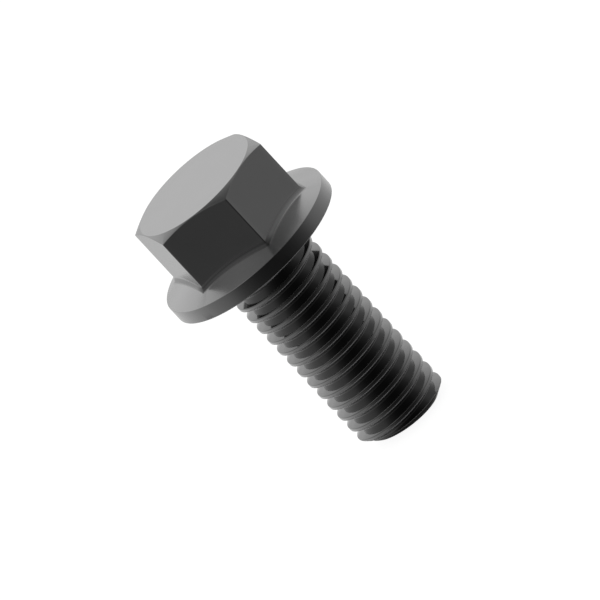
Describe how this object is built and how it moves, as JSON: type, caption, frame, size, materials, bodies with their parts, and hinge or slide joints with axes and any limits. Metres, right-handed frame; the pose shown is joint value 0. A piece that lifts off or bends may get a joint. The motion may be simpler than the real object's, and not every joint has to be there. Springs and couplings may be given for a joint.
{
  "type": "hexagon flange bolt",
  "caption": "Hexagon-head bolt with a cone-topped round flange under the head, a coarse right-hand thread up to the flange and a chamfered point, cut a little askew.",
  "frame": {"origin": "centre of the bearing face, the flat underside of the flange", "axes": "+Z along the bolt's axis, out through the head; the threaded shank points to -Z; a corner of the hexagon lies on +X"},
  "size_m": [0.0195, 0.0194, 0.0319],
  "materials": {
    "plain_steel": "smooth, bare, neutral grey steel with a soft shine, as forged, thread-rolled and tumbled"
  },
  "bodies": {
    "root": {"flange_bolt": "plain_steel"}
  },
  "joints": []
}
